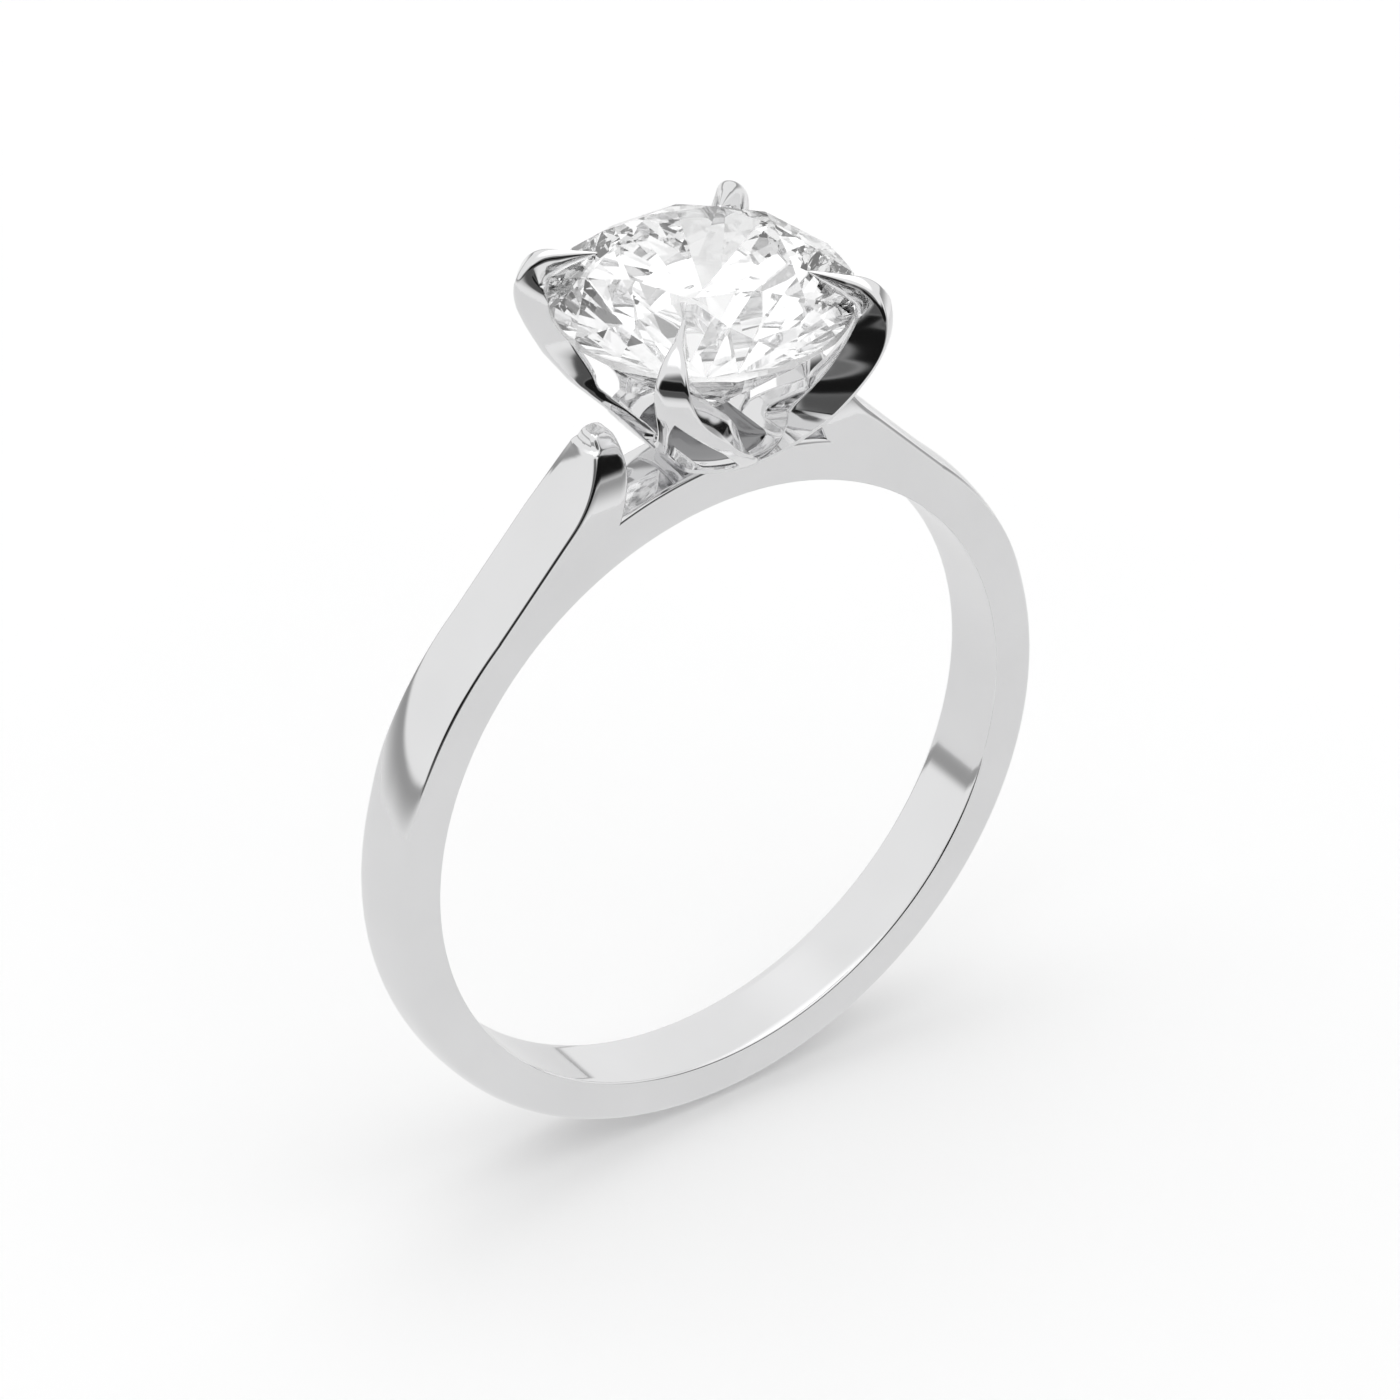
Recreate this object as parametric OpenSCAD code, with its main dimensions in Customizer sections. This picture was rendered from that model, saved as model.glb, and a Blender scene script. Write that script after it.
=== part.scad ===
// Solitaire engagement ring: plain shank with raised cathedral shoulders and a four-claw tulip head.
// The origin is the centre of the finger hole. Y is the finger's axis and +Z points up through the stone.

/* [Shank] */
// Inside diameter of the ring (the finger size)
finger_d = 17.35; // [14:0.05:21]
// Width of the shank along the finger
shank_w = 2.0; // [1.8:0.1:2.4]
// Thickness of the shank at its edges
shank_t = 1.15; // [1:0.05:1.4]
// How much thicker the shank is along the level middle of its domed outside
dome = 0.15; // [0.05:0.01:0.2]
// Half width of that level middle, which the head's peg goes through
level_y = 0.5; // [0.47:0.01:0.55]
// How far the outer edges are softened along the shank's width, below the shoulders
soft_w = 0.45; // [0.3:0.05:0.45]
// How far the outer edges are softened through the shank's thickness, below the shoulders
soft_t = 0.3; // [0.1:0.02:0.4]
// Angle above the horizontal at which the soft edges turn into the crisp edges of the shoulders
crisp_from = 20; // [10:1:30]

/* [Shoulders] */
// Angle above the horizontal at which a shoulder's outer face leaves the shank's circle
rise_from = 43; // [40:1:46]
// Height of a shoulder's tip above the top of the shank
tip_rise = 1.7; // [1.5:0.05:1.9]
// Radius of the upward sweep under a shoulder's tip
sweep_r = 3.9; // [3:0.1:5]
// Distance of a shoulder's inner face from the middle of the ring
inner_x = 2.78; // [2.6:0.02:3]
// Thickness of a shoulder's tip
tip_t = 0.72; // [0.5:0.02:0.9]

/* [Stone] */
// Diameter of the round brilliant stone
stone_d = 7.57; // [7.4:0.01:7.7]
// Height of the middle of the stone's girdle above the finger hole's centre
girdle_z = 14.165; // [14.1:0.01:14.3]
// Diameter of the stone's table, as a share of the stone's diameter
table_share = 0.57; // [0.53:0.01:0.6]
// Angle of the stone's crown mains
crown_angle = 34.5; // [33:0.5:35.5]
// Angle of the stone's pavilion mains
pavilion_angle = 40.8; // [40:0.2:41.4]
// Thickness of the girdle at its thick points, as a share of the stone's diameter
girdle_share = 0.035; // [0.03:0.001:0.04]

/* [Head] */
// Largest radius of the head, at the outside of the claws
claw_r = 4.7; // [4.6:0.02:4.8]
// Width of a claw beside the stone's girdle
claw_w = 0.88; // [0.7:0.02:1]
// Radius of the well under the stone
well_r = 2.6; // [2.5:0.02:2.7]
// Half width of the oval base across the finger's axis
base_x = 1.43; // [1.3:0.01:1.5]
// Half width of the oval base along the finger's axis
base_y = 2.33; // [2.2:0.01:2.4]
// Wall thickness of the claws' feet on the sides that face the shoulders
foot_wall = 0.42; // [0.3:0.02:0.5]
// Diameter of the peg under the head
peg_d = 0.9; // [0.7:0.05:1.1]
// Depth of the peg's hole in the shank
peg_depth = 0.7; // [0.5:0.05:0.8]

/* [Hidden] */
$fn = 96;

finger_r = finger_d / 2;
shank_r = finger_r + shank_t;
stone_r = stone_d / 2;
far = 30;                                 // longer than the whole ring
platinum = "gainsboro";
ice = "aliceblue";

// The stone's own heights
girdle_t = girdle_share * stone_d;
girdle_top = girdle_z + girdle_t / 2;
girdle_bottom = girdle_z - girdle_t / 2;
table_r = table_share * stone_r;
table_z = girdle_top + (stone_r - table_r) * tan(crown_angle);
culet_z = girdle_bottom - stone_r * tan(pavilion_angle);

// The head's heights: the seam between base and claws, and the top of the claws
base_top = shank_r + 0.52;
base_bottom = shank_r + 0.19;
tip_top = girdle_top + 0.88;
tip_reach = 2.62;                         // how near the claw tips come to the stone's axis
clear = 0.01;                             // daylight between the stone and its seat

function arc(x, y, r, from, to, steps = 8) =
    [for (i = [0:steps]) let (a = from + (to - from) * i / steps) [x + r * cos(a), y + r * sin(a)]];

// Puts a drawing made in X and Z upright, and gives it a depth along Y
module along_y(depth) {
    rotate([90, 0, 0])
        linear_extrude(height = depth, center = true)
            children();
}

// Puts a drawing made in Y and Z upright, and gives it a depth along X
module along_x(depth) {
    rotate([90, 0, 90])
        linear_extrude(height = depth, center = true)
            children();
}

// ---- Shank ----

// Cross-section of the crisp-edged shank: the outside slopes up from its edges to the level middle
module crisp_section(inside_r) {
    half = shank_w / 2;
    crown = [[shank_r, half], [shank_r + 0.58 * dome, (half + level_y) / 2], [shank_r + dome, level_y]];
    polygon(concat([[inside_r, half]], crown,
        [for (i = [2:-1:0]) [crown[i][0], -crown[i][1]]], [[inside_r, -half]]));
}

// What is taken off one outer edge: a corner less an elliptical quarter round
module soft_edge() {
    half = shank_w / 2;
    low = shank_r - soft_t;
    rise = soft_t + dome;
    polygon(concat([for (i = [0:6]) [low + rise * sin(15 * i), half - soft_w + soft_w * cos(15 * i)]],
        [[shank_r + 1, half - soft_w], [shank_r + 1, half + 1], [low, half + 1]]));
}

// Carries a cross-section round the finger, from one angle above the right-hand horizontal through another
module sweep(from, through) {
    rotate([90, 0, 0])
        rotate_extrude(angle = through, start = from, $fn = 180)
            children();
}

module shank() {
    color(platinum)
        difference() {
            sweep(0, 360) crisp_section(finger_r);
            sweep(180 - crisp_from, 180 + 2 * crisp_from) soft_edge();
            sweep(180 - crisp_from, 180 + 2 * crisp_from) mirror([0, 1]) soft_edge();
            translate([0, 0, shank_r - peg_depth])
                cylinder(d = peg_d, h = far);
        }
}

// ---- Shoulders ----

// Outline of the left shoulder seen along the finger: a straight run that leaves the shank's circle as a
// tangent, an upward sweep, a rounded tip and a nearly upright inner face
module shoulder_outline() {
    leave = 180 - rise_from;              // where the outer face leaves the shank
    slope = 90 - rise_from;               // direction of the straight run
    run = 3.95;                           // length of the straight run
    bend = 26;                            // how far the sweep turns upward
    start = shank_r * [cos(leave), sin(leave)];
    knee = start + run * [cos(slope), sin(slope)];
    hub = knee + sweep_r * [-sin(slope), cos(slope)];
    top = shank_r + tip_rise;
    tip_round = 0.22;
    sweep = arc(hub[0], hub[1], sweep_r, slope - 90, slope - 90 + bend);
    shelf = -inner_x - tip_t;
    polygon(concat([[0.8 * start[0], 0.8 * start[1]], start, knee], sweep,
        [[shelf, top - 0.3]],
        arc(shelf + tip_round + 0.02, top - tip_round, tip_round, 150, 90, 4),
        arc(-inner_x - 0.14 - tip_round, top - tip_round, tip_round, 90, 20, 4),
        [[-inner_x, top - 0.9], [-inner_x + 0.02, top - 1.35], [-inner_x - 0.16, shank_r + 0.08],
         [-inner_x - 0.42, shank_r - 0.7]]));
}

// Front of a shoulder seen from the side of the ring: upright sides that close in a pointed arch
module shoulder_arch() {
    spring_z = shank_r - 0.6;             // where the arch starts
    rise = shank_r + tip_rise + 0.2 - spring_z;   // the arch would close a little above the tip
    half = shank_w / 2;
    offset_y = (rise * rise - half * half) / (2 * half);
    arch_r = offset_y + half;
    reach = asin(rise / arch_r);
    polygon(concat([[half, 0], [half, spring_z]],
        arc(-offset_y, spring_z, arch_r, 0, reach, 10),
        arc(offset_y, spring_z, arch_r, 180 - reach, 180, 10),
        [[-half, spring_z], [-half, 0]]));
}

module shoulder() {
    difference() {
        intersection() {
            along_y(shank_w) shoulder_outline();
            along_x(far) shoulder_arch();
        }
        sweep(0, 360) crisp_section(0);
    }
}

module left_shoulder() {
    color(platinum) shoulder();
}

module right_shoulder() {
    color(platinum) mirror([1, 0, 0]) shoulder();
}

// ---- Head ----

// The head's outer surface: a straight flare under a round bulge beside the stone, closing over the crown
module outer_profile() {
    bulge_r = 1.8;
    bulge_x = claw_r - bulge_r;
    bulge_z = girdle_z - 0.345;
    polygon(concat([[0, base_bottom], [base_y - 0.38, base_bottom], [base_y, base_top + 0.12]],
        arc(bulge_x, bulge_z, bulge_r, -42, 42, 14),
        [[3.9, tip_top - 0.03], [tip_reach - 0.1, tip_top], [0, tip_top]]));
}

// The hollow that holds the stone: a bowl, a well, a flare, a seat at the girdle and the slope of the crown
module inner_profile() {
    seat_r = stone_r + clear;
    seat_low = girdle_bottom - clear;
    crown_run = seat_r - 1.5;
    bowl_r = 1.25;                        // radius of the bowl's curved floor edge
    polygon(concat([[0, base_top]], arc(well_r - bowl_r, base_top + bowl_r, bowl_r, -75, 0, 6),
        [[well_r, 11.95], [2.96, 12.34], [3.34, 13.0], [3.565, 13.45],
         [seat_r - 0.2, seat_low - 0.2 * tan(pavilion_angle)], [seat_r, seat_low], [seat_r, girdle_top + clear],
         [seat_r - crown_run, girdle_top + clear + crown_run * tan(crown_angle)], [0, far]]));
}

// Half width of the head at each height seen along the finger; the claws' outsides are flat on these sides
module flank_outline(wall) {
    half = [[base_x, 10.19], [2.98, 12.28], [3.22, 12.91], [3.42, 13.5], [3.52, 14.0], [3.52, 15.4]];
    polygon(concat([for (p = half) [p[0] - wall, p[1]]], [for (i = [5:-1:0]) [wall - half[i][0], half[i][1]]],
        [[wall - base_x, base_bottom - 0.5], [base_x - wall, base_bottom - 0.5]]));
}

// A claw seen from outside, with its flank foot on the left and its finger-side foot on the right
module claw_outline() {
    half = claw_w / 2;
    polygon([[-half + 0.08, tip_top + 1], [-half + 0.02, 14.57], [-half, 13.9], [-half, 13.2], [-0.47, 12.9],
        [-0.60, 12.28], [-0.70, 11.6], [-0.92, 10.87], [-1.01, base_top], [-1.01, 0], [1.65, 0], [1.65, base_top],
        [1.71, 10.71], [1.76, 11.05], [1.63, 11.65], [1.31, 12.4], [1.0, 12.89], [0.685, 13.52], [0.533, 13.98],
        [half, 14.3], [half - 0.05, 14.57], [half - 0.08, tip_top + 1]]);
}

// The pointed window between a claw's two feet
module claw_window() {
    polygon(concat([[0.08, 13.3], [-0.08, 12.95], [-0.2, 12.3], [-0.34, 11.6], [-0.5, 10.95]],
        [[-0.42, 10.68], [-0.2, 10.55], [0.9, 10.6], [1.18, 10.75], [1.28, 11.1]],
        [[1.24, 11.46], [1.13, 11.95], [0.86, 12.35], [0.49, 12.83], [0.25, 13.12]]));
}

// All that a claw's tip is cut away to, seen from above: what stays narrows over the crown to a blunt point
module tip_waste() {
    half = claw_w / 2;
    side = [[far, far], [4.6, far], [4.45, half], [4.2, half - 0.06], [3.95, 0.28], [3.35, 0.2],
        [tip_reach, 0.06]];
    translate([0, 0, girdle_top])
        linear_extrude(height = far)
            difference() {
                square(far, center = true);
                polygon(concat([for (p = side) [p[0], -p[1]]], [for (i = [6:-1:0]) side[i]]));
            }
}

// The front right claw with its two feet. The other claws are its mirror images.
module claw() {
    difference() {
        intersection() {
            rotate_extrude() outer_profile();
            along_y(far) flank_outline(0);
            translate([0, -far, base_top]) cube([far, far, far]);
            rotate([0, 0, -45])
                translate([far / 2, 0, 0])
                    mirror([0, 1, 0])
                        along_x(far) claw_outline();
        }
        intersection() {
            rotate_extrude() inner_profile();
            along_y(far) flank_outline(foot_wall);
        }
        rotate([0, 0, -45]) {
            translate([far / 2, 0, 0])
                mirror([0, 1, 0])
                    along_x(far) claw_window();
            tip_waste();
        }
    }
}

module front_right_claw() {
    color(platinum) claw();
}

module front_left_claw() {
    color(platinum) mirror([1, 0, 0]) claw();
}

module back_right_claw() {
    color(platinum) mirror([0, 1, 0]) claw();
}

module back_left_claw() {
    color(platinum) mirror([1, 0, 0]) mirror([0, 1, 0]) claw();
}

// Oval dish that joins the four claws, with the peg that is soldered into the shank
module head_base() {
    oval = [for (i = [0:47]) [base_x * cos(7.5 * i), base_y * sin(7.5 * i)]];
    color(platinum) {
        translate([0, 0, base_bottom])
            linear_extrude(height = base_top - base_bottom)
                polygon(oval);
        translate([0, 0, shank_r - peg_depth])
            cylinder(d = peg_d, h = base_bottom + peg_depth - shank_r);
    }
}

// ---- Stone ----

function around(r, angle, z) = [r * cos(angle), r * sin(angle), z];

// A round brilliant: table, stars, crown mains and upper halves above a girdle that is scalloped where the
// halves meet it, with lower halves and pavilion mains below
module diamond() {
    main = 45;                            // from one main facet to the next
    half = main / 2;
    quarter = main / 4;
    star_share = 0.52;
    lower_share = 0.77;
    rim = 64;                             // points round the girdle
    rim_main = rim / 8;
    rim_half = rim / 16;

    // Where the star facets' outer corners lie, on two crown mains at once
    star_r = table_r * cos(half) + star_share * (stone_r - table_r * cos(half));
    star_z = table_z - (star_r * cos(half) - table_r) * tan(crown_angle);
    // Where the lower halves' inner corners lie, on two pavilion mains at once
    lower_r = (1 - lower_share) * stone_r;
    lower_z = culet_z + lower_r * cos(half) * tan(pavilion_angle);
    // Slopes of the upper and lower halves
    upper_slope = (star_z - girdle_top) / ((stone_r - star_r) * cos(quarter));
    lower_slope = (girdle_bottom - lower_z) / ((stone_r - lower_r) * cos(quarter));

    // How far the girdle's outline bulges past a half facet's straight edge
    rim_angle = [for (i = [0:rim - 1]) i * 360 / rim];
    bulge = [for (a = rim_angle) stone_r * (cos(a % half - quarter) - cos(quarter))];

    table_at = 0;
    star_at = 8;
    upper_at = 16;
    under_at = upper_at + rim;
    lower_at = under_at + rim;
    culet_at = lower_at + 8;
    points = concat(
        [for (i = [0:7]) around(table_r, main * i, table_z)],
        [for (i = [0:7]) around(star_r, main * i + half, star_z)],
        [for (i = [0:rim - 1]) around(stone_r, rim_angle[i], girdle_top - bulge[i] * upper_slope)],
        [for (i = [0:rim - 1]) around(stone_r, rim_angle[i], girdle_bottom + bulge[i] * lower_slope)],
        [for (i = [0:7]) around(lower_r, main * i + half, lower_z)],
        [[0, 0, culet_z]]);
    faces = concat(
        [[for (i = [7:-1:0]) table_at + i]],
        [for (i = [0:7]) [table_at + (i + 1) % 8, star_at + i, table_at + i]],
        [for (i = [0:7]) [star_at + i, upper_at + rim_main * i, star_at + (i + 7) % 8, table_at + i]],
        [for (k = [0:15]) concat([for (j = [rim_half:-1:0]) upper_at + (rim_half * k + j) % rim],
            [star_at + floor(k / 2)])],
        [for (j = [0:rim - 1]) [upper_at + j, upper_at + (j + 1) % rim, under_at + (j + 1) % rim, under_at + j]],
        [for (k = [0:15]) concat([for (j = [0:rim_half]) under_at + (rim_half * k + j) % rim],
            [lower_at + floor(k / 2)])],
        [for (i = [0:7]) [culet_at, lower_at + (i + 7) % 8, under_at + rim_main * i, lower_at + i]]);
    color(ice) polyhedron(points, faces);
}

shank();
left_shoulder();
right_shoulder();
head_base();
front_left_claw();
front_right_claw();
back_left_claw();
back_right_claw();
diamond();
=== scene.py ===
import math
import bpy
import numpy as np
from mathutils import Matrix, Vector


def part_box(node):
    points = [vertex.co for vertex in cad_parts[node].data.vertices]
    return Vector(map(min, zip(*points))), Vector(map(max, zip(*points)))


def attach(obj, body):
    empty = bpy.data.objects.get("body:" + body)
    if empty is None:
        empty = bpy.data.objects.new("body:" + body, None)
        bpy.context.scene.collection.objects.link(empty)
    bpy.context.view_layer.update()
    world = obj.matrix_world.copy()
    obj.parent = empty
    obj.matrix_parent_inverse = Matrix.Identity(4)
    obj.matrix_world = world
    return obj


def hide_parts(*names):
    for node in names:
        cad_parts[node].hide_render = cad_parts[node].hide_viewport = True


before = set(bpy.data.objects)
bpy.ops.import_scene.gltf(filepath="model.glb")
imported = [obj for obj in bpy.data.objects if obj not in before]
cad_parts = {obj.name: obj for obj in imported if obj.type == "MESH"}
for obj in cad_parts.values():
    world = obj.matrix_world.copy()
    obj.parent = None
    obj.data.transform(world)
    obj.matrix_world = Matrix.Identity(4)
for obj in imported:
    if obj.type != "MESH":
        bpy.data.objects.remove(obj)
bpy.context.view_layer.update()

# Everything below is drawn in millimetres and scaled to the frame's metres when a mesh is made.
MM = 0.001
METAL = "polished_platinum"
STONE = "diamond"

# ---- Sizes, from the CAD nodes' boxes where they give them ----

shank_low, shank_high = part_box("shank")
stone_low, stone_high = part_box("diamond")
_, horn_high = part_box("left_shoulder")
DOME = 0.15                                 # how much the outer face rises from its edges to its middle
SHANK_R = shank_high.x / MM - DOME          # outside radius of the shank at its edges
HALF_W = shank_high.y / MM                  # half of the shank's width
FINGER_R = 8.675
STONE_R = stone_high.x / MM
TABLE_Z = stone_high.z / MM
CULET_Z = stone_low.z / MM
HORN_TOP = horn_high.z / MM
INNER_X = -horn_high.x / MM                 # where the left shoulder's inner face is nearest to the head
FLOOR_Z = shank_low.z - 0.00002
SQRT2 = math.sqrt(2)


# ---- Mesh helpers ----

def smooth_line(rows, steps=12):
    """A dense Catmull-Rom curve through rows of numbers, each row a point with any number of columns."""
    rows = np.array(rows, float)
    padded = np.vstack([2 * rows[0] - rows[1], rows, 2 * rows[-1] - rows[-2]])
    dense = []
    for i in range(1, len(padded) - 2):
        a, b, c, d = padded[i - 1:i + 3]
        for k in range(steps):
            t = k / steps
            dense.append(0.5 * (2 * b + (c - a) * t + (2 * a - 5 * b + 4 * c - d) * t * t
                                + (3 * b - a - 3 * c + d) * t ** 3))
    dense.append(padded[-2])
    return np.array(dense)


def smooth_min(a, b, blend):
    """The smaller of a and b, with the corner between them rounded."""
    h = np.clip(0.5 + 0.5 * (b - a) / blend, 0, 1)
    return b * (1 - h) + a * h - blend * h * (1 - h)


def smooth_step(x, low, high):
    t = np.clip((x - low) / (high - low), 0, 1)
    return t * t * (3 - 2 * t)


def add_piece(name, points, faces, material, nodes, slot, sharp_deg=35, flat=False):
    """Makes a mesh object from points in millimetres, with its material, its body and its CAD node."""
    mesh = bpy.data.meshes.new(name)
    mesh.from_pydata([tuple(c * MM for c in p) for p in points], [], faces)
    mesh.validate()
    mesh.update()
    piece = bpy.data.objects.new(name, mesh)
    bpy.context.scene.collection.objects.link(piece)
    mesh.materials.append(material)
    if not flat:
        mesh.shade_smooth()
        mesh.set_sharp_from_angle(angle=math.radians(sharp_deg))
        weighted = piece.modifiers.new("weighted_normals", "WEIGHTED_NORMAL")
        weighted.keep_sharp = True
    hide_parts(*nodes)
    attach(piece, "root")
    return piece


# ---- Shank ----

SOFT_FROM = 20                              # degrees above the horizontal where the soft edges end
SOFT_DEPTH = 0.24                           # how far the soft edges reach down the shank's side faces
SOFT_POWER = 2.5                            # squareness of the soft-edged section
CRISP_R = 0.12                              # fillet along crisp edges
BRIDGE_R = 0.15                             # fillet along the bridge under the head
INNER_FILLET = 0.08


def dome(y):
    """Height of the domed outer face over its edges."""
    return DOME * (1 - (y / HALF_W) ** 2)


def crisp_section(fillet, flat=10, turn=10):
    """Half the outer face as (radius, y), from its middle to the side face, with a small fillet."""
    lean = math.atan(2 * DOME / HALF_W)
    start = HALF_W - fillet + fillet * math.sin(lean)
    hub = SHANK_R + dome(start) - fillet * math.cos(lean)
    half = [(SHANK_R + dome(y), y) for y in np.linspace(0, start, flat + 1)[:-1]]
    for a in np.linspace(lean, math.pi / 2, turn):
        half.append((hub + fillet * math.cos(a), HALF_W - fillet + fillet * math.sin(a)))
    return np.array(half)


def soft_section(count=20):
    """The same half of the outer face where its edges are soft: a squared-off ellipse."""
    low = SHANK_R - SOFT_DEPTH
    rise = SHANK_R + DOME - low
    half = []
    for a in np.linspace(0, math.pi / 2, count):
        half.append((low + rise * max(math.cos(a), 0) ** (2 / SOFT_POWER),
                     HALF_W * math.sin(a) ** (2 / SOFT_POWER)))
    return np.array(half)


def shank_section(soft, fillet):
    """Closed cross-section as (radius, y) points, from crisp-edged at soft = 0 to soft-edged at soft = 1."""
    outer = crisp_section(fillet) * (1 - soft) + soft_section() * soft
    half = [tuple(p) for p in outer]
    for k in range(5):
        a = math.radians(90 * k / 4)
        half.append((FINGER_R + INNER_FILLET * (1 - math.sin(a)),
                     HALF_W - INNER_FILLET + INNER_FILLET * math.cos(a)))
    for y in np.linspace(HALF_W - INNER_FILLET, 0, 7)[1:]:
        half.append((FINGER_R, y))
    other = [(r, -y) for r, y in reversed(half[1:-1])]
    return half + other


def shank_mesh(turns=480):
    points, faces = [], []
    for i in range(turns):
        a = 2 * math.pi * i / turns
        height = math.degrees(math.asin(math.sin(a)))
        soft = 1 - float(smooth_step(height, SOFT_FROM - 7, SOFT_FROM + 5))
        fillet = CRISP_R + (BRIDGE_R - CRISP_R) * float(smooth_step(height, 58, 66))
        for r, y in shank_section(soft, fillet):
            points.append((r * math.cos(a), y, r * math.sin(a)))
    n = len(points) // turns
    for i in range(turns):
        for j in range(n):
            k, m = (i + 1) % turns, (j + 1) % n
            faces.append((i * n + j, i * n + m, k * n + m, k * n + j))
    return points, faces


# ---- Shoulders ----

RISE_FROM = 43                              # degrees above the horizontal where the shoulder leaves the shank
RUN = 3.95                                  # length of its straight run
SWEEP_R, SWEEP = 3.9, 26                    # radius and degrees of the upward sweep
TIP_ROUND = 0.14                            # rounding of the tip's outer corner
TIP_T = 0.72                                # thickness of the tip
ARCH_OVER = 0.32                            # how far above the tip the pointed arch would close
INSET = 0.999                               # keeps the shoulder's flush sides just inside the shank's
HIDDEN_R = SHANK_R - 0.3                    # the shoulder's foot, inside the shank
ARCH_SPRING = SHANK_R - 0.6


def arch_half_width(z):
    """Half the shoulder's width at a height: upright sides that close in a pointed arch."""
    rise = HORN_TOP + ARCH_OVER - ARCH_SPRING
    centre = (rise * rise - HALF_W * HALF_W) / (2 * HALF_W)
    radius = centre + HALF_W
    up = max(0.0, z - ARCH_SPRING)
    return max(0.02, math.sqrt(max(0.0, radius * radius - up * up)) - centre)


def shoulder_outline():
    """The outer face from the shank up to the tip, and the inner face opposite it, as (x, z) pairs."""
    leave = math.radians(180 - RISE_FROM)
    slope = math.radians(90 - RISE_FROM)
    start = SHANK_R * np.array([math.cos(leave), math.sin(leave)])
    along = np.array([math.cos(slope), math.sin(slope)])
    normal = np.array([-along[1], along[0]])
    outer = [start - 0.6 * along * s - 0.02 * normal * s for s in (1.0, 0.5)]
    outer += [start + RUN * along * s for s in np.linspace(0, 1, 16)]
    hub = start + RUN * along + SWEEP_R * normal
    for a in np.radians(np.linspace(-90, -90 + SWEEP, 18))[1:]:
        turn = slope + a
        outer.append(hub + SWEEP_R * np.array([math.cos(turn), math.sin(turn)]))
    shelf = INNER_X + TIP_T
    outer.append(np.array([-shelf, HORN_TOP - 0.34]))
    for a in np.radians(np.linspace(160, 90, 8)):
        outer.append(np.array([-shelf + TIP_ROUND + 0.01 + TIP_ROUND * math.cos(a),
                               HORN_TOP - TIP_ROUND + TIP_ROUND * math.sin(a)]))
    inner_foot = [(-INNER_X - 0.55, HORN_TOP - 2.75), (-INNER_X - 0.36, HORN_TOP - 2.3),
                  (-INNER_X - 0.14, HORN_TOP - 1.6), (-INNER_X - 0.02, HORN_TOP - 1.1),
                  (-INNER_X, HORN_TOP - 0.75), (-INNER_X - 0.05, HORN_TOP - 0.36),
                  (-INNER_X - 0.12, HORN_TOP - 0.12), (-INNER_X - 0.22, HORN_TOP - 0.02),
                  (-INNER_X - 0.32, HORN_TOP)]
    return np.array(outer), smooth_line(inner_foot, 8)


def resample(line, count):
    """count points at even spacing along a polyline."""
    steps = np.r_[0, np.cumsum(np.linalg.norm(np.diff(line, axis=0), axis=1))]
    at = np.linspace(0, steps[-1], count)
    return np.stack([np.interp(at, steps, line[:, c]) for c in range(line.shape[1])], 1)


def shoulder_ring(top, low, fillet=CRISP_R, across=8, turn=6, deep=8):
    """Closed section between a point of the outer face and the point opposite it, fillets included."""
    length = np.linalg.norm(low - top)
    along = (low - top) / length
    w_top, w_low = arch_half_width(top[1]), arch_half_width(low[1])
    r_top, r_low = min(fillet, 0.8 * w_top, 0.4 * length), min(fillet, 0.8 * w_low, 0.4 * length)
    half = []
    for y in np.linspace(0, w_top - r_top, across + 1)[:-1]:
        half.append((-DOME * (w_top / HALF_W) * (1 - (y / w_top) ** 2), y))
    edge = half[-1][0] * 0.3
    for a in np.linspace(0, math.pi / 2, turn):
        q = edge * math.cos(a) + r_top * (1 - math.cos(a))
        half.append((q, w_top - r_top + r_top * math.sin(a) + arch_half_width((top + along * q)[1]) - w_top))
    for q in np.linspace(r_top, length - r_low, deep + 1)[1:-1]:
        half.append((q, arch_half_width((top + along * q)[1])))
    for a in np.linspace(math.pi / 2, 0, turn):
        q = length - r_low * (1 - math.cos(a))
        half.append((q, w_low - r_low + r_low * math.sin(a) + arch_half_width((top + along * q)[1]) - w_low))
    for y in np.linspace(w_low - r_low, 0, across + 1)[1:]:
        half.append((length, y))
    ring = half + [(q, -y) for q, y in reversed(half[1:-1])]
    return [(*(top + along * q), y * INSET) for q, y in ring]


def shoulder_mesh(side, rows=110):
    """side is -1 for the left shoulder and 1 for the right one."""
    outer, inner = shoulder_outline()
    outer = resample(outer, rows)
    inner = inner[np.linalg.norm(inner, axis=1) > HIDDEN_R]
    foot_start = outer[0] * (HIDDEN_R / np.linalg.norm(outer[0]))
    foot_end = inner[0] * (HIDDEN_R / np.linalg.norm(inner[0]))
    a0, a1 = math.atan2(foot_start[1], foot_start[0]), math.atan2(foot_end[1], foot_end[0])
    foot = [(HIDDEN_R * math.cos(a), HIDDEN_R * math.sin(a)) for a in np.linspace(a0, a1, 40)]
    under = resample(np.vstack([np.array(foot), inner]), rows)
    points, faces, rings = [], [], []
    for top, low in zip(outer[:-1], under[:-1]):
        ring = [(x, y, z) for x, z, y in shoulder_ring(top, low)]
        rings.append(range(len(points), len(points) + len(ring)))
        points += ring
    n = len(rings[0])
    for a, b in zip(rings, rings[1:]):
        for j in range(n):
            m = (j + 1) % n
            faces.append((a[j], a[m], b[m], b[j]))
    faces.append(tuple(rings[0])[::-1])
    faces.append(tuple(rings[-1]))
    if side > 0:
        points = [(-x, y, z) for x, y, z in points]
        faces = [f[::-1] for f in faces]
    return points, faces


# ---- Claws ----

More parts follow.
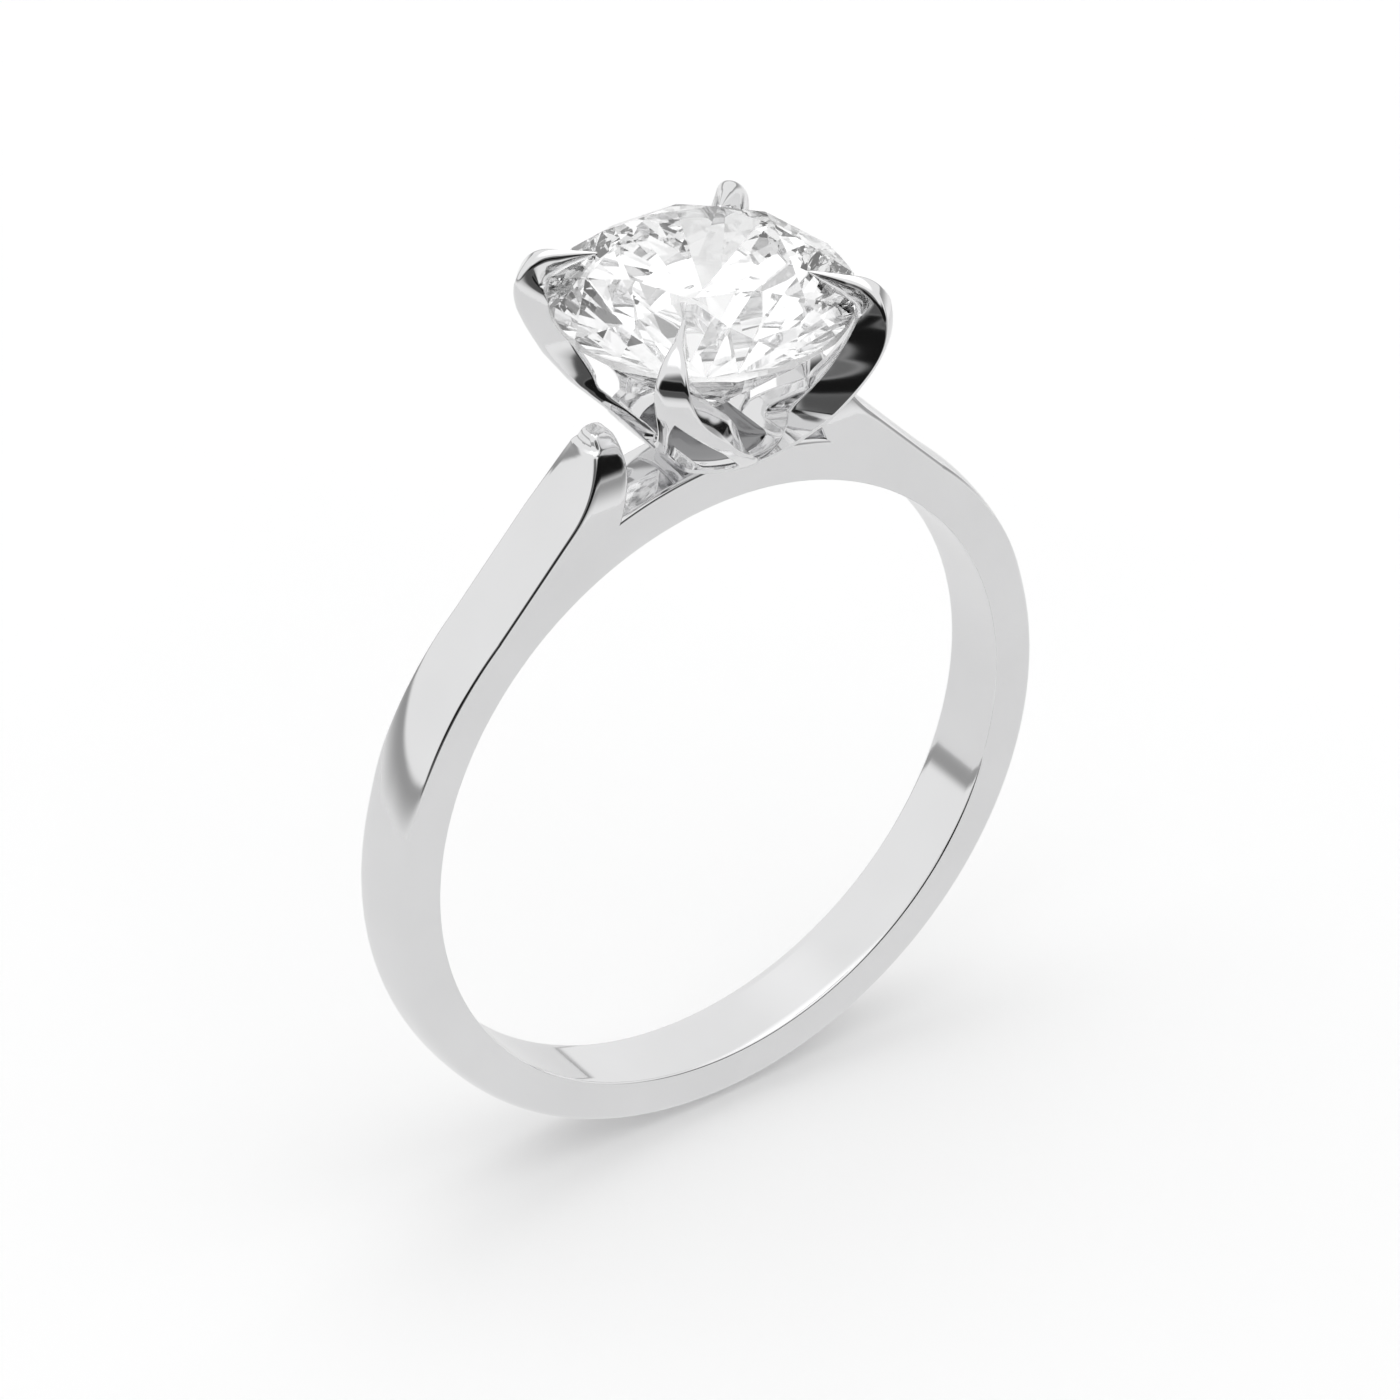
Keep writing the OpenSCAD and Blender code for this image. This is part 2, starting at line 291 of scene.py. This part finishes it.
# Stations down a claw, from the tip over the stone's crown to the foot at the base. Each has the outer
# surface's radius and height, the inner surface's radius and height, and how far the claw reaches
# sideways: towards the shoulder, towards the finger outside, and towards the finger inside.
STATIONS = [
    (2.60, 15.150, 2.62, 15.10, 0.04, 0.04, 0.04),
    (3.20, 15.140, 3.05, 14.81, 0.11, 0.11, 0.11),
    (3.75, 15.110, 3.50, 14.50, 0.20, 0.20, 0.20),
    (4.10, 15.000, 3.76, 14.33, 0.27, 0.27, 0.27),
    (4.38, 14.740, 3.80, 14.20, 0.345, 0.345, 0.345),
    (4.600, 14.31, 3.80, 14.04, 0.41, 0.44, 0.44),
    (4.675, 13.79, 3.68, 13.70, 0.44, 0.58, 0.58),
    (4.57, 13.27, 3.46, 13.22, 0.43, 0.80, 0.85),
    (4.233, 12.62, 3.12, 12.62, 0.45, 1.19, 1.17),
    (3.756, 11.91, 2.66, 11.92, 0.60, 1.52, 1.27),
    (3.40, 11.52, 2.60, 11.52, 0.73, 1.68, 1.31),
    (3.062, 11.165, 2.55, 11.165, 0.86, 1.745, 1.42),
    (2.66, 10.79, 2.38, 10.79, 0.94, 1.72, 1.54),
    (2.36, 10.53, 2.14, 10.56, 0.97, 1.67, 1.62),
    (2.12, 10.36, 1.90, 10.44, 1.00, 1.67, 1.62),
    (1.80, 10.19, 1.60, 10.38, 1.05, 1.67, 1.62),
]
# Half width of the head seen along the finger, as (height, half width)
FLANK = [(9.9, 0.95), (10.08, 1.32), (10.19, 1.43), (10.87, 1.91), (11.61, 2.585), (12.28, 2.98),
         (12.91, 3.22), (13.42, 3.39), (13.9, 3.48), (14.4, 3.55), (15.2, 3.6)]
FOOT_WALL = 0.42
# The window between a claw's feet, from its apex down: height, shoulder side, finger side
WINDOW = [(13.30, 0.08, 0.08), (13.12, 0.0, 0.25), (12.83, -0.10, 0.49), (12.35, -0.19, 0.86),
          (11.95, -0.27, 1.13), (11.46, -0.37, 1.25), (11.10, -0.46, 1.29), (10.88, -0.49, 1.25),
          (10.72, -0.46, 1.12), (10.60, -0.34, 0.90)]
EDGE_R = 0.075                              # fillet along a claw's edges
TIP_EXTRA_R = 0.17                          # how much rounder the tip is
TIP_ROWS, WINDOW_ROWS, FOOT_ROWS = 90, 80, 18   # rows of mesh above, beside and below the window


def flank_at(z):
    return np.interp(z, [p[0] for p in FLANK], [p[1] for p in FLANK])


def claw_rows():
    """Dense stations, and the numbers of the rows on the window's apex and on its lower edge."""
    dense = smooth_line(STATIONS, 16)
    z = dense[:, 1]
    apex, sill = WINDOW[0][0], WINDOW[-1][0]
    lower = np.argmax(z)
    index = np.arange(len(dense), dtype=float)
    at_apex = np.interp(-apex, -z[lower:], index[lower:])
    at_sill = np.interp(-sill, -z[lower:], index[lower:])
    at = np.r_[np.linspace(0, at_apex, TIP_ROWS)[:-1], np.linspace(at_apex, at_sill, WINDOW_ROWS)[:-1],
               np.linspace(at_sill, len(dense) - 1, FOOT_ROWS)]
    rows = np.stack([np.interp(at, index, dense[:, c]) for c in range(dense.shape[1])], 1)
    return rows, TIP_ROWS - 1, TIP_ROWS + WINDOW_ROWS - 2


def spread(low, high, fillet, inner):
    """Columns from low to high: close together in the fillet at each end, even in between."""
    width = high - low
    r = min(fillet, 0.45 * width)
    near = r * (1 - np.cos(np.radians([0, 22.5, 45, 67.5, 90])))
    middle = np.linspace(low + r, high - r, inner + 2)[1:-1]
    return np.r_[low + near, middle, (high - near)[::-1]]


def edge_distance(p, v, lines):
    """Distance of points (p, v) on the unrolled claw from its free edges."""
    at = np.stack([p, v], -1)
    best = np.full(p.shape, 9.0)
    for line in lines:
        for a, b in zip(line, line[1:]):
            ab = b - a
            t = np.clip(((at - a) @ ab) / max(ab @ ab, 1e-12), 0, 1)
            best = np.minimum(best, np.linalg.norm(at - (a + t[..., None] * ab), axis=-1))
    return best


def retreat(distance, fillet):
    """How far a surface falls back near an edge with that fillet."""
    inside = np.clip(fillet - distance, 0, fillet)
    return fillet - np.sqrt(fillet * fillet - inside * inside)


def claw_surface(rows, p, row_of, lines, outside, v):
    """Points of the claw's outer or inner surface at sideways places p on rows row_of."""
    rho_all, z_all = (rows[:, 0], rows[:, 1]) if outside else (rows[:, 2], rows[:, 3])
    d_rho, d_z = np.gradient(rho_all), np.gradient(z_all)
    length = np.hypot(d_rho, d_z)
    n_t, n_z = -d_z / length, d_rho / length
    thick = np.hypot(rows[:, 0] - rows[:, 2], rows[:, 1] - rows[:, 3])
    r, z = rho_all[row_of], z_all[row_of]
    flank = flank_at(z) - (0 if outside else FOOT_WALL)
    round_t = np.sqrt(np.maximum(r * r - p * p, 0.01))
    t = smooth_min(round_t, SQRT2 * flank + p, 0.12)
    tip = 1 - smooth_step(v, 1.4, 2.6)
    fillet = np.minimum(EDGE_R + TIP_EXTRA_R * tip, 0.44 * thick)[row_of]
    back = retreat(edge_distance(p, v[row_of], lines), fillet)
    sign = -1 if outside else 1
    t = t + sign * back * n_t[row_of]
    z = z + sign * back * n_z[row_of]
    return np.stack([(t - p) / SQRT2, -(t + p) / SQRT2, z], -1)


def claw_mesh():
    """The front right claw. It ends on the ring's two middle planes, where its neighbours go on."""
    rows, apex, sill = claw_rows()
    v = np.r_[0, np.cumsum(np.hypot(np.diff(rows[:, 0]), np.diff(rows[:, 1])))]
    z = rows[:, 1]
    table = smooth_line(WINDOW, 10)
    low_side = np.interp(z, table[::-1, 0], table[::-1, 1])
    high_side = np.interp(z, table[::-1, 0], table[::-1, 2])
    left_out = -np.minimum(rows[:, 4], flank_at(z) / SQRT2)
    left_in = -np.minimum(rows[:, 4], (flank_at(rows[:, 3]) - FOOT_WALL) / SQRT2)
    right_out = np.minimum(rows[:, 5], rows[:, 0] / SQRT2)
    right_in = np.minimum(rows[:, 6], rows[:, 2] / SQRT2)
    open_left = z > 10.2
    open_right = z > 10.5
    window = [np.stack([side, v], 1)[apex:sill + 1] for side in (low_side, high_side)]
    window.append(np.array([window[0][-1], window[1][-1]]))
    tip = [np.array([[left_out[0], v[0]], [right_out[0], v[0]]])]
    points, layers = [], []
    for outside, left, right in ((True, left_out, right_out), (False, left_in, right_in)):
        lines = window + tip + [np.stack([left, v], 1)[open_left], np.stack([right, v], 1)[open_right]]
        grid = []
        for j in range(len(rows)):
            if j <= apex:
                middle = 0.08 * smooth_step(v[j], v[apex] - 2.5, v[apex])
                low, high = (left[j], middle), (middle, right[j])
            else:
                low, high = (left[j], low_side[j]), (high_side[j], right[j])
            grid.append([spread(*low, EDGE_R, 6), spread(*high, EDGE_R, 8)])
            if j >= sill:
                grid[-1].insert(1, np.linspace(low[1], high[0], 14)[1:-1])
        layer = []
        for j, parts in enumerate(grid):
            if j <= apex:
                parts[1] = parts[1][1:]
            index = []
            for part in parts:
                at = np.full(len(part), j)
                start = len(points)
                points += [tuple(q) for q in claw_surface(rows, part, at, lines, outside, v)]
                index.append(list(range(start, start + len(part))))
            if j <= apex:
                index[1] = [index[0][-1]] + index[1]
            if j >= sill:
                index[1] = [index[0][-1]] + index[1] + [index[2][0]]
            layer.append(index)
        layers.append(layer)
    return points, claw_faces(layers, apex, sill)


def claw_faces(layers, apex, sill):
    outer, inner = layers
    faces = []
    last = len(outer) - 1

    def wall(a, b, c, d):
        faces.append((a, b, c, d))

    for j in range(last):
        for layer, flip in ((outer, False), (inner, True)):
            strips = [(layer[j][0], layer[j + 1][0]), (layer[j][-1], layer[j + 1][-1])]
            if j >= sill:
                strips.append((layer[j][1], layer[j + 1][1]))
            for a, b in strips:
                for i in range(len(a) - 1):
                    quad = (a[i], b[i], b[i + 1], a[i + 1])
                    faces.append(quad[::-1] if flip else quad)
        wall(inner[j][0][0], inner[j + 1][0][0], outer[j + 1][0][0], outer[j][0][0])
        wall(outer[j][-1][-1], outer[j + 1][-1][-1], inner[j + 1][-1][-1], inner[j][-1][-1])
        if apex <= j < sill:
            wall(outer[j][0][-1], outer[j + 1][0][-1], inner[j + 1][0][-1], inner[j][0][-1])
            wall(inner[j][-1][0], inner[j + 1][-1][0], outer[j + 1][-1][0], outer[j][-1][0])
    sill_out, sill_in = outer[sill][1], inner[sill][1]
    for i in range(len(sill_out) - 1):
        wall(sill_out[i], sill_out[i + 1], sill_in[i + 1], sill_in[i])
    for j, flip in ((0, False), (last, True)):
        top = [k for n, part in enumerate(outer[j]) for k in (part if n == 0 else part[1:])]
        low = [k for n, part in enumerate(inner[j]) for k in (part if n == 0 else part[1:])]
        for i in range(len(top) - 1):
            quad = (top[i], top[i + 1], low[i + 1], low[i])
            faces.append(quad[::-1] if flip else quad)
    return faces


def mirrored(points, faces, flip_x, flip_y):
    sx, sy = (-1 if flip_x else 1), (-1 if flip_y else 1)
    points = [(x * sx, y * sy, z) for x, y, z in points]
    if flip_x != flip_y:
        faces = [f[::-1] for f in faces]
    return points, faces


# ---- Head base ----

BOWL_Z = 10.03                              # lowest point of the dish's hollow


def base_mesh(turns=144):
    """Dish between the claws' feet, with the stem that is soldered into the shank."""
    low, high = 0.45, SHANK_R - 0.45
    profile = [(0.5, 0.5, BOWL_Z), (0.95, 0.85, 10.08), (1.35, 1.1, 10.17), (1.65, 1.23, 10.30),
               (1.80, 1.29, 10.40), (1.88, 1.33, 10.41), (1.94, 1.36, 10.34),
               (1.90, 1.36, 10.25), (1.76, 1.30, 10.17), (1.5, 1.15, 10.09), (1.15, 0.95, 10.03),
               (0.8, 0.72, 9.98), (0.55, 0.54, 9.92), (low, low, 9.82), (low, low, high)]
    rows = smooth_line(profile, 5)
    points, faces = [(0, 0, BOWL_Z)], []
    for rho, flank, z in rows:
        for i in range(turns):
            a = 2 * math.pi * i / turns
            reach = flank / max(abs(math.cos(a)), 1e-3)
            r = float(smooth_min(np.array(rho), np.array(reach), 0.15))
            points.append((r * math.cos(a), r * math.sin(a), z))
    for i in range(turns):
        k = (i + 1) % turns
        faces.append((0, 1 + i, 1 + k))
        for j in range(len(rows) - 1):
            a, b = 1 + j * turns, 1 + (j + 1) * turns
            faces.append((a + i, b + i, b + k, a + k))
    bottom = 1 + (len(rows) - 1) * turns
    faces.append(tuple(bottom + i for i in range(turns))[::-1])
    return points, faces


# ---- Stone ----

CROWN_ANGLE, PAVILION_ANGLE = math.radians(34.5), math.radians(40.8)
TABLE_SHARE = 0.57                          # the table's diameter, as a share of the stone's
STAR_SHARE = 0.52                           # how far the star facets reach from the table to the girdle
LOWER_SHARE = 0.77                          # how far the lower halves reach from the girdle to the culet


def diamond_mesh(rim=96):
    """A round brilliant: table, stars, crown mains, upper halves, girdle, lower halves, pavilion mains."""
    crown, pavilion = CROWN_ANGLE, PAVILION_ANGLE
    table_r = TABLE_SHARE * STONE_R
    girdle_top = TABLE_Z - (STONE_R - table_r) * math.tan(crown)
    girdle_low = CULET_Z + STONE_R * math.tan(pavilion)
    half, quarter = math.radians(22.5), math.radians(11.25)
    apothem = table_r * math.cos(half)
    star_r = apothem + STAR_SHARE * (STONE_R - apothem)
    star_z = TABLE_Z - (star_r * math.cos(half) - table_r) * math.tan(crown)
    lower_r = (1 - LOWER_SHARE) * STONE_R
    lower_z = CULET_Z + lower_r * math.cos(half) * math.tan(pavilion)
    up = (star_z - girdle_top) / ((STONE_R - star_r) * math.cos(quarter))
    down = (girdle_low - lower_z) / ((STONE_R - lower_r) * math.cos(quarter))

    def at(r, angle, z):
        return (r * math.cos(angle), r * math.sin(angle), z)

    points = [at(table_r, 2 * half * i, TABLE_Z) for i in range(8)]
    points += [at(star_r, 2 * half * i + half, star_z) for i in range(8)]
    rims = [2 * math.pi * j / rim for j in range(rim)]
    bulge = [STONE_R * (math.cos(a % half - quarter) - math.cos(quarter)) for a in rims]
    points += [at(STONE_R, a, girdle_top - b * up) for a, b in zip(rims, bulge)]
    points += [at(STONE_R, a, girdle_low + b * down) for a, b in zip(rims, bulge)]
    points += [at(lower_r, 2 * half * i + half, lower_z) for i in range(8)]
    points.append((0, 0, CULET_Z))
    upper, under, lower, culet = 16, 16 + rim, 16 + 2 * rim, 24 + 2 * rim
    main, part = rim // 8, rim // 16
    faces = [tuple(range(8))]
    for i in range(8):
        faces.append((i, 8 + i, (i + 1) % 8))
        faces.append((i, 8 + (i + 7) % 8, upper + main * i, 8 + i))
        faces.append((lower + i, under + main * i, lower + (i + 7) % 8, culet))
    for k in range(16):
        fan = [(part * k + j) % rim for j in range(part + 1)]
        faces.append(tuple([8 + k // 2] + [upper + j for j in fan]))
        faces.append(tuple([lower + k // 2] + [under + j for j in reversed(fan)]))
    girdle_from = len(faces)
    for j in range(rim):
        k = (j + 1) % rim
        faces.append((upper + j, under + j, under + k, upper + k))
    return points, faces, girdle_from


# ---- Materials ----

def new_material(name):
    material = bpy.data.materials.new(name)
    material.use_nodes = True
    nodes = material.node_tree.nodes
    nodes.clear()
    shader = nodes.new("ShaderNodeBsdfPrincipled")
    output = nodes.new("ShaderNodeOutputMaterial")
    material.node_tree.links.new(shader.outputs["BSDF"], output.inputs["Surface"])
    return material, nodes, material.node_tree.links, shader


def noise(nodes, links, scale, detail, stretch=(1, 1, 1)):
    """Procedural noise in object space, at so many features per metre."""
    place = nodes.new("ShaderNodeTexCoord")
    mapping = nodes.new("ShaderNodeMapping")
    mapping.inputs["Scale"].default_value = stretch
    texture = nodes.new("ShaderNodeTexNoise")
    texture.inputs["Scale"].default_value = scale
    texture.inputs["Detail"].default_value = detail
    links.new(place.outputs["Object"], mapping.inputs["Vector"])
    links.new(mapping.outputs["Vector"], texture.inputs["Vector"])
    return texture


def ramp(nodes, links, source, low, high, stops=(0.3, 0.7)):
    """Maps a factor onto a range of colours or greys."""
    mapped = nodes.new("ShaderNodeValToRGB")
    for element, stop, value in zip(mapped.color_ramp.elements, stops, (low, high)):
        element.position = stop
        element.color = (*value, 1) if isinstance(value, tuple) else (value, value, value, 1)
    links.new(source, mapped.inputs["Fac"])
    return mapped.outputs["Color"]


def platinum(name, low, high, gloss):
    """Polished white metal, or with dark tones the painted shade in the dish's hollow: faint clouding in tone
    and gloss, and the finest polishing lines.
    """
    material, nodes, links, shader = new_material(name)
    shader.inputs["Metallic"].default_value = 1.0
    clouds = noise(nodes, links, scale=260, detail=3)
    links.new(ramp(nodes, links, clouds.outputs["Fac"], low, high), shader.inputs["Base Color"])
    links.new(ramp(nodes, links, clouds.outputs["Fac"], gloss, gloss + 0.03), shader.inputs["Roughness"])
    lines = noise(nodes, links, scale=2600, detail=2, stretch=(1, 0.12, 1))
    bump = nodes.new("ShaderNodeBump")
    bump.inputs["Strength"].default_value = 0.012
    bump.inputs["Distance"].default_value = 0.00002
    links.new(lines.outputs["Fac"], bump.inputs["Height"])
    links.new(bump.outputs["Normal"], shader.inputs["Normal"])
    return material


def diamond_material(name, rough_low, rough_high):
    """Colourless diamond: clear and strongly refracting, with the faintest growth clouds."""
    material, nodes, links, shader = new_material(name)
    shader.inputs["Transmission Weight"].default_value = 1.0
    shader.inputs["IOR"].default_value = 2.42
    clouds = noise(nodes, links, scale=500, detail=2)
    links.new(ramp(nodes, links, clouds.outputs["Fac"], (0.985, 0.988, 0.99), (1.0, 1.0, 1.0)),
              shader.inputs["Base Color"])
    links.new(ramp(nodes, links, clouds.outputs["Fac"], rough_low, rough_high), shader.inputs["Roughness"])
    return material


def floor_material(name, tone):
    material, nodes, links, shader = new_material(name)
    grain = noise(nodes, links, scale=60, detail=2)
    links.new(ramp(nodes, links, grain.outputs["Fac"], (tone,) * 3, (tone + 0.01,) * 3),
              shader.inputs["Base Color"])
    shader.inputs["Roughness"].default_value = 0.7
    return material


# ---- Stage, light and camera ----

def disc(name, radius, z, material, turns=96):
    mesh = bpy.data.meshes.new(name)
    points = [(radius * math.cos(2 * math.pi * i / turns), radius * math.sin(2 * math.pi * i / turns), z)
              for i in range(turns)]
    mesh.from_pydata(points, [], [tuple(range(turns))])
    mesh.materials.append(material)
    made = bpy.data.objects.new(name, mesh)
    bpy.context.scene.collection.objects.link(made)
    return made


FLOOR_RADIUS, CARD_RADIUS = 3.0, 0.055
FLOOR_TONE, CARD_TONE = 0.96, 0.92


def add_floor():
    """The wide pale floor, and the round card that reflections and the stone see in its place."""
    floor = disc("floor", FLOOR_RADIUS, FLOOR_Z, floor_material("pale_floor", FLOOR_TONE))
    floor.visible_glossy = False
    floor.visible_transmission = False
    card = disc("floor_card", CARD_RADIUS, FLOOR_Z, floor_material("pale_card", CARD_TONE))
    card.visible_camera = False
    card.visible_diffuse = False
    card.visible_shadow = False


WORLD_LIGHT, OVERHEAD_LIGHT = 1.16, 0.5
# Heights are sines of the elevation. The horizon darkens slowly from below and ends sharply.
HORIZON_DARK = 0.62
HORIZON_FADE_IN, HORIZON_FADE_OUT = (-0.32, -0.06), (0.01, -0.04)
OVERHEAD_FADE = (0.72, 0.88)
FRONT_AZIMUTH, CLAW_AZIMUTH = math.radians(-15), math.radians(-34)
# The dark gaps: height from, height to, softness, side, how closely a direction must point there, darkness
GAPS = [
    (0.0, 0.40, 0.06, FRONT_AZIMUTH, (0.30, 0.70), 0.99),
    (0.36, 0.66, 0.06, CLAW_AZIMUTH, (0.74, 0.86), 0.84),
    (-0.17, 0.05, 0.04, CLAW_AZIMUTH, (0.74, 0.86), 0.9),
]


def add_world():
    """A white studio, brighter overhead, with a grey horizon and dark gaps on the front side.

    The camera itself sees plain white. Every other kind of ray sees the greys and the gaps.
    """
    world = bpy.data.worlds.new("studio")
    bpy.context.scene.world = world
    world.use_nodes = True
    nodes, links = world.node_tree.nodes, world.node_tree.links
    nodes.clear()
    place = nodes.new("ShaderNodeTexCoord")

    def value(operation, a, b=None):
        made = nodes.new("ShaderNodeMath")
        made.operation = operation
        for socket, source in zip(made.inputs, (a, b)):
            if isinstance(source, (int, float)):
                socket.default_value = source
            elif source is not None:
                links.new(source, socket)
        return made.outputs[0]

    def fade(source, start, end):
        """Goes smoothly from 0 where source is at start to 1 where it is at end."""
        step = nodes.new("ShaderNodeMapRange")
        step.interpolation_type = "SMOOTHSTEP"
        step.inputs["From Min"].default_value = start
        step.inputs["From Max"].default_value = end
        links.new(source, step.inputs["Value"])
        return step.outputs["Result"]

    def soft_range(source, low, high, soft):
        """1 where source lies between low and high, falling off smoothly outside."""
        return value("MULTIPLY", fade(source, low - soft, low + soft), fade(source, high + soft, high - soft))

    split = nodes.new("ShaderNodeSeparateXYZ")
    links.new(place.outputs["Generated"], split.inputs["Vector"])

    def towards(azimuth):
        """How much a direction points to that side, where 0 is the ring's front and 90 its right side."""
        dot = nodes.new("ShaderNodeVectorMath")
        dot.operation = "DOT_PRODUCT"
        dot.inputs[1].default_value = (math.sin(azimuth), -math.cos(azimuth), 0)
        links.new(place.outputs["Generated"], dot.inputs[0])
        return dot.outputs["Value"]

    height = split.outputs["Z"]
    horizon = value("MULTIPLY", fade(height, *HORIZON_FADE_IN), fade(height, *HORIZON_FADE_OUT))
    overhead = fade(height, *OVERHEAD_FADE)
    dark = value("MULTIPLY", horizon, HORIZON_DARK)
    for low, high, soft, azimuth, aim, strength in GAPS:
        gap = value("MULTIPLY", soft_range(height, low, high, soft), fade(towards(azimuth), *aim))
        dark = value("MAXIMUM", dark, value("MULTIPLY", gap, strength))
    sky = value("ADD", WORLD_LIGHT, value("MULTIPLY", overhead, OVERHEAD_LIGHT))
    light = value("MULTIPLY", value("SUBTRACT", 1.0, dark), sky)
    path = nodes.new("ShaderNodeLightPath")
    seen = value("MAXIMUM", light, value("MULTIPLY", path.outputs["Is Camera Ray"], WORLD_LIGHT))
    background = nodes.new("ShaderNodeBackground")
    links.new(seen, background.inputs["Strength"])
    output = nodes.new("ShaderNodeOutputWorld")
    links.new(background.outputs["Background"], output.inputs["Surface"])


SOFTBOX_SIZE, SOFTBOX_POWER = 0.35, 0.15
SOFTBOX_AT = Vector((0.05, 0.1, 0.6))


def add_softbox():
    light = bpy.data.lights.new("softbox", "AREA")
    light.shape = "DISK"
    light.size = SOFTBOX_SIZE
    light.energy = SOFTBOX_POWER
    made = bpy.data.objects.new("softbox", light)
    made.location = SOFTBOX_AT
    made.rotation_euler = (-SOFTBOX_AT).to_track_quat("-Z", "Y").to_euler()
    bpy.context.scene.collection.objects.link(made)


# The camera stands off the ring's front left, in units of the finger hole's radius
CAM_AZIMUTH, CAM_ELEVATION = math.radians(-35.563), math.radians(35.133)
CAM_DISTANCE, CAM_RIGHT, CAM_UP = 22.2141, -0.0073, 0.19923
CAM_LENS, CAM_SENSOR = 194.674, 36.0


def add_camera():
    az, el = CAM_AZIMUTH, CAM_ELEVATION
    back = Vector((math.sin(az) * math.cos(el), -math.cos(az) * math.cos(el), math.sin(el)))
    right = (-back).cross(Vector((0, 0, 1))).normalized()
    up = right.cross(-back)
    data = bpy.data.cameras.new("camera")
    data.lens, data.sensor_width = CAM_LENS, CAM_SENSOR
    data.clip_start, data.clip_end = 0.01, 10
    camera = bpy.data.objects.new("camera", data)
    place = (back * CAM_DISTANCE + right * CAM_RIGHT + up * CAM_UP) * FINGER_R * MM
    camera.matrix_world = Matrix.Translation(place) @ Matrix((right, up, back)).transposed().to_4x4()
    bpy.context.scene.collection.objects.link(camera)
    bpy.context.scene.camera = camera


# ---- Everything ----

metal = platinum("polished_platinum", (0.79, 0.79, 0.795), (0.83, 0.83, 0.835), 0.06)
# A dark copy of the platinum for the dish's hollow: painted shade where little light reaches under the stone,
# not a different metal.
painted_shade_bowl_metal = platinum("painted_shade_bowl_platinum", (0.22, 0.22, 0.225), (0.30, 0.30, 0.305), 0.05)
ring = add_piece("shank_ring", *shank_mesh(), metal, ["shank"], METAL)
# The shank and the dish are hidden from rays through the stone, where they would show as a grey wedge
ring.visible_transmission = False
for side, name in ((-1, "left"), (1, "right")):
    add_piece(f"{name}_shoulder_horn", *shoulder_mesh(side), metal, [f"{name}_shoulder"], METAL)
claw = claw_mesh()
for flip_x, across in ((True, "left"), (False, "right")):
    for flip_y, along in ((False, "front"), (True, "back")):
        shape = mirrored(*claw, flip_x, flip_y)
        add_piece(f"{along}_{across}_petal", *shape, metal, [f"{along}_{across}_claw"], METAL)
dish = add_piece("head_dish", *base_mesh(), metal, ["head_base"], METAL)
dish.visible_transmission = False
dish.data.materials.append(painted_shade_bowl_metal)
# Upward faces low in the dish take the dark metal: painted shade in the hollow under the stone.
for polygon in dish.data.polygons:
    if polygon.normal.z > 0.3 and polygon.center.z < 10.39 * MM:
        polygon.material_index = 1

points, faces, girdle_from = diamond_mesh()
stone = add_piece("brilliant", points, faces, diamond_material("diamond_facets", 0.0, 0.004), ["diamond"],
                  STONE, flat=True)
stone.data.materials.append(diamond_material("diamond_girdle", 0.12, 0.3))
for polygon in stone.data.polygons[girdle_from:]:
    polygon.material_index = 1

add_floor()
add_world()
add_softbox()
add_camera()
scene = bpy.context.scene
scene.view_settings.view_transform = "Standard"
scene.cycles.max_bounces = 24
scene.cycles.glossy_bounces = 16
scene.cycles.transmission_bounces = 24
